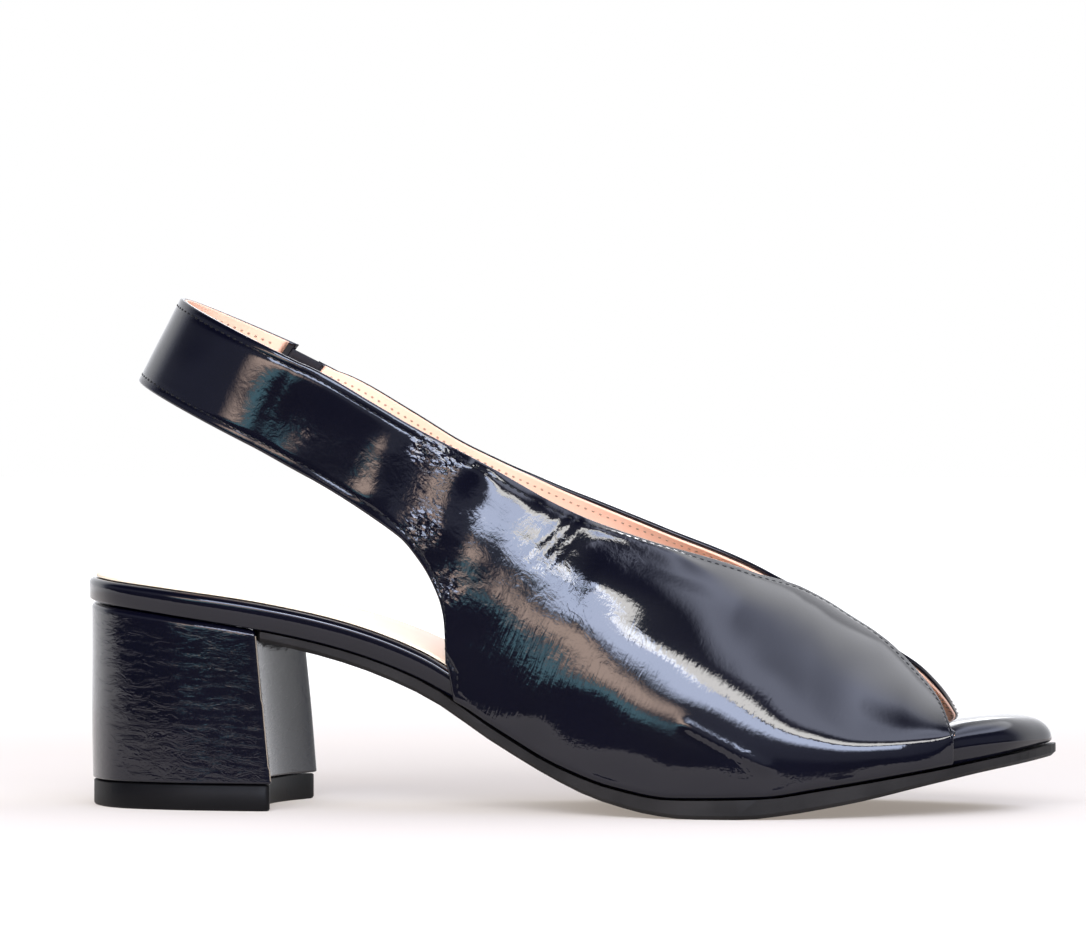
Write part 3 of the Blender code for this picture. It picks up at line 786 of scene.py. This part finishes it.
def patent_material(name, crinkle, fringe=0.0, sparkle=0.0, stretch=(1, 1, 1), turn=(0, 0, 0),
                    waves=0.1, lean=0.0):
    """Navy patent leather: a hazy base under a clear coat, with soft waves, crinkles and hair-like wrinkles.

    crinkle, fringe and sparkle are strengths, or names of the piece's own weights. stretch and turn are
    those of the crinkles, and lean tips a wall's shine up.
    """
    material, nodes, shader, place = new_material(name, PATENT)
    tone = nodes.colour_mix(nodes.noise(place, *TONE), NAVY, NAVY_LIGHT)
    nodes.link(tone, shader.inputs["Base Color"])
    height = nodes.add("SeparateXYZ", place).outputs["Z"]
    crease = nodes.noise(nodes.stretched(place, stretch, turn), *CREASE)
    hair = nodes.noise(nodes.stretched(place, HAIR_STRETCH, HAIR_TURN), *HAIR)
    normal = nodes.bumps([
        (nodes.math("MULTIPLY", height, -lean), 1 / MM, 1.0),
        (nodes.noise(place, *SWELL), SWELL_MM, waves),
        (nodes.weighted(crease, crinkle), CREASE_MM, 1.0),
        (nodes.weighted(hair, fringe), HAIR_MM, 1.0),
        (nodes.weighted(nodes.noise(place, *CRACK), sparkle), CRACK_MM, 1.0),
        (nodes.noise(place, *GRAIN), GRAIN_MM, GRAIN_SHARE),
    ])
    if isinstance(sparkle, str):
        normal = tilted_facets(nodes, place, normal, sparkle)
    nodes.link(normal, shader.inputs["Normal"])
    nodes.link(normal, shader.inputs["Coat Normal"])
    return material


def plain_material(surface, name, dark, light, roughness):
    """Leather, thread, webbing or rubber, with a grain and an uneven tone."""
    shine, tone, bumps = SURFACES[surface]
    settings = {"Roughness": roughness, "Specular IOR Level": shine}
    material, nodes, shader, place = new_material(name, settings)
    nodes.link(nodes.colour_mix(nodes.noise(place, *tone), dark, light), shader.inputs["Base Color"])
    layers = [(nodes.noise(place, *noise), height, strength) for *noise, height, strength in bumps]
    nodes.link(nodes.bumps(layers), shader.inputs["Normal"])
    return material


def make_materials():
    """Every material of the shoe by name."""
    return {
        "upper": patent_material("upper_patent", "crinkle", "fringe", "sparkle",
                                 stretch=(1, 1, 1.5), turn=(0, -0.6, 0)),
        "rim": patent_material("rim_patent", 0.05, waves=0.05),
        "heel": patent_material("heel_patent", 0.55, stretch=(2.0, 1.4, 0.7), turn=(0, 0.1, 0),
                                waves=0.25, lean=0.014),
        **{look: plain_material(*row) for look, row in PLAIN_LOOKS.items()},
    }


def make_leather(name, side, points, low_room, top_room, material, relief):
    """One panel of patent leather with folded edges, a sewn groove and its own relief."""
    normals = grid_normals(points, side)
    room = np.minimum(np.minimum(low_room, top_room), end_room(points))
    drop = edge_drop(room, LEATHER / 2)
    sewn_low = smoothstep(REAR_CORNER + SEWN_FADE, REAR_CORNER, points[..., 0])
    tuck = edge_drop(low_room, TUCK) * (1 - sewn_low)
    points = points - normals * tuck[..., None]
    groove = np.exp(-((top_room - STITCH_EDGE) / GROOVE_WIDTH) ** 2)
    groove += sewn_low * np.exp(-((low_room - STITCH_EDGE) / GROOVE_WIDTH) ** 2)
    rise = relief * smoothstep(*CALM_EDGE, room) - GROOVE_DEPTH * groove
    outside = points + normals * (rise - drop)[..., None]
    inside = points - normals * (LEATHER - drop)[..., None]
    piece = shell_piece(name, outside, inside, material)
    return piece, outside, normals


def make_lining(name, side, points, low_room, top_room, material):
    """Lining leather inside a panel, cut back a little from its folded edge."""
    normals = grid_normals(points, side)
    thick = WALL - LEATHER - LAYER_GAP
    sides = np.minimum(low_room - low_room[:, :1], top_room - top_room[:, -1:])
    room = np.minimum(sides, end_room(points))
    drop = edge_drop(room, thick / 2)
    outside = points - normals * (WALL - thick + drop)[..., None]
    inside = points - normals * (WALL - drop)[..., None]
    shell_piece(name, outside, inside, material)
    return inside, -normals


def set_wrinkles(piece):
    """Strengths of the wrinkles at each point of a panel, for its material."""
    flat = np.empty(len(piece.data.vertices) * 3)
    piece.data.vertices.foreach_get("co", flat)
    points = flat.reshape(-1, 3) / MM + (ORIGIN_STATION, 0, 0)
    for name, (patches, least) in WRINKLES.items():
        strengths = least + (1 - least) * patch_weight(patches, points[:, 0], points[:, 2])
        layer = piece.data.attributes.new(name, "FLOAT", "POINT")
        layer.data.foreach_set("value", strengths.astype(np.float32))


def with_strap(grid, rows):
    """A panel's points and edge distances, carried on along the rows of its strap."""
    points, *rooms = grid
    longer = [np.vstack([room, np.repeat(room[-1:], len(rows), axis=0)]) for room in rooms]
    return np.vstack([points, rows]), *longer


def both_panels(per_row, middle, strap_turns, stub_turns, outer_insets, inner_insets):
    """Outer panel with its strap, inner panel with its stub, and the rows where strap and stub begin."""
    outer = panel_grid(-1, LATERAL_TOP, FRONT_LATERAL, lap_point, per_row, middle, outer_insets)
    inner = panel_grid(1, MEDIAL_TOP, FRONT_MEDIAL, last_point, per_row, middle, inner_insets)
    ends = outer[0][-1], inner[0][-1]
    strap = turn_rows(ends[0], ends[1] + (0, 0, STRAP_STEP), strap_turns[1:])
    stub = turn_rows(*ends, stub_turns[1:])
    return with_strap(outer, strap), with_strap(inner, stub), ends


def make_upper(looks):
    """Both panels with the sling strap, their linings, stitches and elastic."""
    outer, inner, ends = both_panels(*PANEL_GRID)
    x, y, z = np.moveaxis(outer[0], -1, 0)
    folds = fold_relief(FOLDS, x, z, FOLD_END) + fold_relief(TOP_RIDGE, x, z, TOP_RIDGE_END)
    outer_relief = folds * (y < 0) + OUTER_WAVES * slow_waves(outer[0])
    inner_relief = INNER_WAVES * slow_waves(inner[0])
    panel, *outer_skin = make_leather("upper_outer_panel", -1, *outer, looks["upper"], outer_relief)
    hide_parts("upper")
    inner_panel, *inner_skin = make_leather("upper_inner_panel", 1, *inner, looks["upper"], inner_relief)
    set_wrinkles(panel)
    set_wrinkles(inner_panel)

    outer, inner, _ = both_panels(*LINING_GRID)
    linings = [make_lining("upper_outer_lining", -1, *outer, looks["lining"]),
               make_lining("upper_inner_lining", 1, *inner, looks["lining"])]

    rows = []
    for skin, normals in (outer_skin, inner_skin):
        rear = np.flatnonzero(skin[:, STITCH_LINE, 0] < REAR_CORNER + SEAM_PAST)[:-3]
        for part, line in ((STITCH_SPAN, -1 - STITCH_LINE), (rear, STITCH_LINE)):
            rows.append((skin[part, line], normals[part, line]))
    make_stitches("upper_stitches", rows, STITCH_LENGTH, looks["thread"])
    rows = [[values[LINING_SPAN, -1 - STITCH_LINE] for values in lining] for lining in linings]
    # lining stitches whose dark colour is painted shade of the stitch holes
    make_stitches("lining_stitches", rows, LINING_STITCH, looks["lining_thread_hole_shade"])
    make_elastic(ends, looks["elastic"])


def make_elastic(ends, material):
    """Ribbed elastic between the strap's end and the inner panel's stub, with its ends inside them."""
    turns = np.linspace(STRAP_END - ELASTIC_TUCK, STUB_END + ELASTIC_TUCK, ELASTIC_ROWS)
    rows = turn_rows(*ends, turns, (WALL - ELASTIC_THICK) / 2)
    shares = np.linspace(0, 1, rows.shape[1])
    kept = np.linspace(ELASTIC_MARGIN, 1 - ELASTIC_MARGIN, ELASTIC_POINTS)
    band = np.array([resample(kept, shares, row) for row in rows])
    normals = grid_normals(band, -1)
    width = np.linalg.norm(band[0, -1] - band[0, 0])
    sides = np.minimum(kept - kept[0], kept[-1] - kept) / (kept[-1] - kept[0]) * width
    room = np.minimum(np.broadcast_to(sides, band.shape[:2]), end_room(band))
    drop = edge_drop(room, ELASTIC_THICK / 2)
    waves = np.sin(np.arange(len(kept)) * 2 * math.pi / RIB_POINTS)
    ribs = RIB_HEIGHT * waves * smoothstep(*RIB_EDGE, room)
    outside = band + normals * (ribs - drop)[..., None]
    inside = band - normals * (ELASTIC_THICK + ribs - drop)[..., None]
    elastic = shell_piece("sling_elastic_web", outside, inside, material)
    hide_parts("sling_elastic")


# Rings of the wrapped insole: chamfer underneath, shares of its rounded edge, then distances from the edge
BOARD_CHAMFER = 0.5
RIM_SHARES = (0.0, 0.03, 0.08, 0.16, 0.28, 0.44, 0.64, 0.84, 1.0)
PAD_INSETS = (5.0, 6.5, 8.0, 10.0, 12.0, 14.0, PAD_REACH)

# Rings of the sock: distances from the edge underneath and on top, and rounding of its cut edge
SOCK_UNDER = (PAD_REACH, 9.0, SOCK_INSET)
SOCK_ROUND = 0.25
SOCK_TOP = (5.0, 9.0, 12.5, PAD_REACH)
WIDE_INSET = 3.0        # least inset that is drawn in at the narrow ends


def make_insole(looks):
    """Wrapped insole with a rounded rim and a toe pad, and the sock on it."""
    x = np.clip(PLAN[:, 0], 0, LENGTH)
    edge = along(RIM, "round", x)
    room = inset_room(x)
    base = along(SOLE, "feather", x) + GAP
    rings = [np.column_stack([inset_ring(BOARD_CHAMFER)[0], base]),
             np.column_stack([PLAN, base + BOARD_CHAMFER])]
    for share in RIM_SHARES:
        flat, stations = inset_ring(share * edge)
        rings.append(np.column_stack([flat, insole_top(stations, share * edge)]))
    for inset in PAD_INSETS:
        flat, stations = inset_ring(edge + (inset - edge) * room)
        rings.append(np.column_stack([flat, insole_top(stations, np.full(len(x), inset))]))
    board = layered_piece("insole_wrapped", rings, looks["rim"])
    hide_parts("insole_board")

    level = RIM["round"].max()
    top = GAP + SOCK_THICK
    lifts = [(inset, GAP) for inset in SOCK_UNDER]
    lifts += [(SOCK_INSET, top - SOCK_ROUND), (SOCK_INSET + SOCK_ROUND, top)]
    lifts += [(inset, top) for inset in SOCK_TOP]
    rings = []
    for inset, lift in lifts:
        flat, stations = inset_ring(inset * (room if inset >= WIDE_INSET else 1.0))
        stations = np.minimum(stations, SOCK_END)
        height = insole_top(stations, np.full(len(x), max(inset, level))) + lift
        rings.append(np.column_stack([stations, flat[:, 1], height]))
    sock = layered_piece("insole_sock_leather", rings, looks["sock"], sharp=CUT_EDGE)
    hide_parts("insole_sock")


# Heel and lift: points of a ring, roundings, and rings from the bottom as shares of the height
SIDE_STEPS = 40
BREAST_STEPS = 30
HEEL_POINTS = 360
KERNEL_REACH = 12       # points on each side that a rounded corner is drawn from
HEEL_CORNER = 1.3
HEEL_FOOT = 0.5         # rounding of its lower edge
HEEL_ROLL = 1.6         # roll of its upper edge
FOOT_LINES = np.linspace(0, 0.02, 5)
FLANK_LINES = np.linspace(0.02, 0.95, 44)
ROLL_LINES = 1 - np.array([0.035, 0.028, 0.022, 0.016, 0.011, 0.007, 0.004, 0.0015, 0.0])
SEAM_LINES = np.linspace(0.02, 0.965, 40)
SEAM_RADIUS = 0.14
SEAM_SIDES = 8
SEAM_OUT = (0.05, -0.05)
LIFT_CORNER = 2.2
LIFT_RINGS = ((0.6, 0.0), (0.25, 0.15), (0.0, 0.6), (0.0, 3.0), (0.0, TOP_PIECE - 0.3), (0.3, TOP_PIECE))


def heel_ring(height, inset=0.0, corner=HEEL_CORNER):
    """Plan of the heel at a height, with its front corners rounded."""
    shares = np.linspace(0, 1, SIDE_STEPS + 1)
    stations = SEAT_LENGTH * (1 - np.cos(shares * math.pi / 2))
    back, width = along(HEEL, "back", height), along(HEEL, "width", height)
    sides = []
    for column, side in (("lateral_front", -1), ("medial_front", 1)):
        edge = half_plan(FINE_PLAN, side)
        y = np.interp(stations, edge[:, 0], edge[:, 1]) * width - side * inset * (stations > 0)
        x = back + inset + stations * (along(HEEL, column, height) - back - 2 * inset) / SEAT_LENGTH
        sides.append(np.column_stack([x, y]))
    outer, inner = sides
    cross = np.linspace(0, 1, BREAST_STEPS + 1)[:, None]
    breast = outer[-1] + (inner[-1] - outer[-1]) * cross
    breast[:, 0] -= BREAST_SAG * 4 * (cross * (1 - cross))[:, 0]
    ring = np.vstack([outer, breast[1:-1], inner[:0:-1]])
    closed = np.vstack([ring, ring[:1]])
    run = run_length(closed)
    wanted = np.arange(HEEL_POINTS) / HEEL_POINTS * run[-1]
    even = resample(wanted, run, closed)
    shifts = np.arange(-KERNEL_REACH, KERNEL_REACH + 1)
    kernel = bell(shifts * run[-1] / HEEL_POINTS, corner)
    return sum(np.roll(even, shift, axis=0) * weight for shift, weight in zip(shifts, kernel))


def stacked_piece(name, rings, material, sharp=ALL_SMOOTH):
    """A closed piece from rings one over the other."""
    faces = stacked_faces(len(rings), len(rings[0]))
    return mesh_piece(name, np.vstack(rings), faces, material, sharp=sharp)


def make_heel(looks):
    """Covered block heel, the cut edge of its cover, and the rubber lift under it."""
    tall = HEEL_HEIGHT - HEEL_BOTTOM
    rings = []
    for share in np.concatenate([FOOT_LINES, FLANK_LINES[1:], ROLL_LINES]):
        inset = edge_drop(share * tall, HEEL_FOOT) + edge_drop((1 - share) * tall, HEEL_ROLL)
        plan = heel_ring(HEEL_BOTTOM + share * tall, inset)
        seat = along(SOLE, "feather", np.clip(plan[:, 0], 0, LENGTH))
        rings.append(np.column_stack([plan, HEEL_BOTTOM + (seat - HEEL_BOTTOM) * share]))
    heel = stacked_piece("heel_covered", rings, looks["heel"], sharp=CUT_EDGE)
    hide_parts("heel_block")

    turns = np.linspace(0, 2 * math.pi, SEAM_SIDES, endpoint=False)
    section = SEAM_RADIUS * np.column_stack([np.cos(turns), np.sin(turns)])
    rings = []
    for share in SEAM_LINES:
        plan = heel_ring(HEEL_BOTTOM + share * tall)
        corner = plan[np.argmax(plan[:, 0] - plan[:, 1])] + SEAM_OUT
        height = HEEL_BOTTOM + share * (along(SOLE, "feather", corner[0]) - HEEL_BOTTOM)
        rings.append(np.column_stack([corner + section, np.full(SEAM_SIDES, height)]))
    stacked_piece("heel_seam", rings, looks["cut_edge"])

    rings = []
    for inset, height in LIFT_RINGS:
        plan = heel_ring(HEEL_BOTTOM, TOP_PIECE_INSET + inset, LIFT_CORNER)
        rings.append(np.column_stack([plan, np.full(len(plan), height)]))
    lift = stacked_piece("heel_lift", rings, looks["top_piece"], sharp=CUT_EDGE)
    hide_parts("heel_top_piece")


def finish_outsole(looks):
    """The outsole keeps its shape and gets softened edges and its own rubber."""
    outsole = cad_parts["outsole"]
    outsole.data.materials.clear()
    outsole.data.materials.append(looks["outsole"])
    outsole.modifiers.new("weld", "WELD").merge_threshold = 0.01 * MM
    bevel = outsole.modifiers.new("soft_edges", "BEVEL")
    bevel.width = 1.1 * MM
    bevel.segments = 3
    bevel.limit_method = "ANGLE"
    bevel.angle_limit = math.radians(35)
    bevel.harden_normals = True


# Softboxes: azimuth from the camera's side, elevation, width and height in degrees, brightness, colour
STUDIO_CENTRE = Vector((0.10, -0.03, 0.05))
SOFTBOX_DISTANCE = 2.0
SOFTBOXES = {
    "window": (8, 22.5, 52, 11, 17.0, (0.66, 0.75, 1.0)),
    "window_side": (-12, 30.5, 12, 5, 17.0, (0.66, 0.75, 1.0)),
    "window_head": (18, 31.6, 48, 6.6, 17.0, (1.0, 0.98, 0.95)),
    "warm_wall": (-22.5, 11.0, 34, 11.5, 9.0, (1.0, 0.74, 0.60)),
    "cool_wall": (-25, 4.6, 28, 4.5, 3.2, (0.35, 0.82, 1.0)),
    "fill": (-15, 28, 60, 40, 4.0, (1.0, 0.95, 0.90)),
}
UNMIRRORED = "fill"     # softbox that shows in no reflection

# Where a softbox dims: a point in or beside its own square of 0 to 1, two distances from it, what is left
FADES = {
    "window": ((0.5, 10.5, 0), 10.05, 10.5, 0.12),
    "window_head": ((0.5, -9.5, 0), 10.05, 10.5, 0.0),
    "warm_wall": ((0.5, 0.5, 0), 0.1, 0.52, 0.0),
    "cool_wall": ((0.5, 0.5, 0), 0.1, 0.52, 0.0),
}

# Floor: its size in metres, its surface, and its own painted glow by the distance from the shoe's middle:
# the glow keeps the floor white, and is dimmer and warmer round the shoe as a painted warm contact shadow
FLOOR_REACH = 30.0
FLOOR_FRONT = -0.36
FLOOR = {"Base Color": (0.46, 0.44, 0.42, 1), "Roughness": 0.8, "Specular IOR Level": 0.0}
FLOOR_MIDDLE = (0.1, 0.0, 0.0)
FLOOR_GLOW = (0.1, 1.2, 0.3, 0.97)
# warm colour of the floor's glow round the shoe: a painted warm contact shadow
FLOOR_SHADOW_WARMTH = (1.0, 0.88, 0.78)
WHITE = (1.0, 1.0, 1.0)

# Light from all round: each glow is a product of ramps along X, Y or Z, from low and high to start and end
GLOWS = {
    "backdrop": (("Y", 0.0, 0.5, 0.04, 1.35),),
    "near_room": (("Z", 0.03, 0.12, 0.0, 0.35), ("Z", 0.30, 0.50, 1.0, 0.0), ("Y", 0.0, 0.2, 1.0, 0.0)),
    "ceiling": (("X", 0.20, 0.40, 0.0, 4.4), ("Y", 0.0, 0.5, 1.0, 0.4),
                ("Z", 0.60, 0.66, 0.0, 1.0), ("Z", 0.90, 0.96, 1.0, 0.1)),
    "ceiling_dip": (("X", 0.4, 0.62, 0.0, 0.5), ("Z", 0.70, 0.80, 0.0, 1.0)),
    "overhead": (("Y", 0.25, 0.75, 0.0, 7.5), ("X", 0.02, 0.10, 1.0, 0.0),
                 ("X", -0.20, -0.10, 0.0, 1.0), ("Z", 0.15, 0.45, 0.0, 1.0)),
    "neutral": (("Y", 0.1, 0.5, 0.0, 0.8),),
}
ROOM_TINT = (0.74, 0.79, 1.0)


def fade_light(light, point, near, far, dim):
    """Dims a light from near to far, by the distance from a point of its own square of 0 to 1."""
    nodes = Nodes(light)
    away = nodes.vector("DISTANCE", nodes.add("TexCoord").outputs["UV"], point)
    nodes.link(nodes.spread(away, near, far, 1.0, dim), nodes.nodes["Emission"].inputs["Strength"])


def make_softbox(name, azimuth, elevation, width, height, radiance, colour):
    """A soft rectangular light, seen from the shoe at an azimuth and elevation."""
    light = bpy.data.lights.new(name, "AREA")
    light.shape = "RECTANGLE"
    light.size = 2 * SOFTBOX_DISTANCE * math.tan(math.radians(width / 2))
    light.size_y = 2 * SOFTBOX_DISTANCE * math.tan(math.radians(height / 2))
    light.energy = radiance * math.pi * light.size * light.size_y
    light.color = colour
    if name in FADES:
        fade_light(light, *FADES[name])
    lamp = add_object(name, light)
    turn, rise = math.radians(azimuth), math.radians(elevation)
    way = Vector((math.sin(turn) * math.cos(rise), -math.cos(turn) * math.cos(rise), math.sin(rise)))
    lamp.location = STUDIO_CENTRE + way * SOFTBOX_DISTANCE
    lamp.rotation_euler = way.to_track_quat("Z", "Y").to_euler()
    lamp.visible_camera = False
    lamp.visible_glossy = name != UNMIRRORED


def make_floor():
    """White floor with a painted glow of its own, dimmer and warmer round the shoe as a painted warm contact
    shadow.
    """
    mesh = bpy.data.meshes.new("studio_floor")
    corners = [(-FLOOR_REACH, FLOOR_FRONT, 0), (FLOOR_REACH, FLOOR_FRONT, 0),
               (FLOOR_REACH, FLOOR_REACH, 0), (-FLOOR_REACH, FLOOR_REACH, 0)]
    mesh.from_pydata(corners, [], [(0, 1, 2, 3)])
    material, nodes, shader, place = new_material("studio_floor", FLOOR)
    # painted glow: dim near the shoe as painted shade, bright further off as painted light that keeps the
    # floor white
    glow = nodes.spread(nodes.vector("DISTANCE", place, FLOOR_MIDDLE), *FLOOR_GLOW)
    nodes.link(glow, shader.inputs["Emission Strength"])
    nodes.link(nodes.colour_mix(glow, FLOOR_SHADOW_WARMTH, WHITE), shader.inputs["Emission Color"])
    mesh.materials.append(material)
    floor = add_object("studio_floor", mesh)


def make_world():
    """A white backdrop that fades to a dim room on the camera's side, and plain white behind the shoe."""
    world = bpy.data.worlds.new("studio")
    bpy.context.scene.world = world
    nodes = Nodes(world)
    ways = nodes.add("SeparateXYZ", nodes.add("TexCoord").outputs["Generated"]).outputs
    path = nodes.add("LightPath").outputs

    def glow(name):
        total = 1.0
        for way, *ramp in GLOWS[name]:
            total = nodes.math("MULTIPLY", total, nodes.spread(ways[way], *ramp))
        return total

    backdrop = nodes.math("ADD", glow("backdrop"), glow("near_room"))
    overhead = nodes.math("MULTIPLY", glow("overhead"), path["Is Glossy Ray"])
    ceiling = nodes.math("MULTIPLY", glow("ceiling"), nodes.math("SUBTRACT", 1.0, glow("ceiling_dip")))
    strength = nodes.math("ADD", nodes.math("MAXIMUM", backdrop, overhead), ceiling)
    shown = nodes.add("Mix", Factor=path["Is Camera Ray"], A=strength, B=1.0)
    neutral = nodes.math("MAXIMUM", path["Is Camera Ray"], glow("neutral"))
    tint = nodes.add("MixRGB", neutral, (*ROOM_TINT, 1), (*WHITE, 1))
    background = nodes.nodes["Background"]
    nodes.link(shown.outputs["Result"], background.inputs["Strength"])
    nodes.link(tint.outputs["Color"], background.inputs["Color"])


def make_camera():
    """Camera at the photograph's viewing angle, level and a little to the toe side."""
    camera = bpy.data.cameras.new("camera")
    camera.sensor_width = 36.0
    camera.lens = 157.6
    camera.clip_end = 50
    eye = add_object("camera", camera)
    eye.location = (0.25866, -1.19198, 0.0866)
    eye.rotation_euler = (math.radians(90), 0, math.radians(8))
    bpy.context.scene.camera = eye


looks = make_materials()
make_upper(looks)
make_insole(looks)
make_heel(looks)
finish_outsole(looks)
make_floor()
make_world()
for name, settings in SOFTBOXES.items():
    make_softbox(name, *settings)
make_camera()
bpy.context.scene.view_settings.view_transform = "Standard"
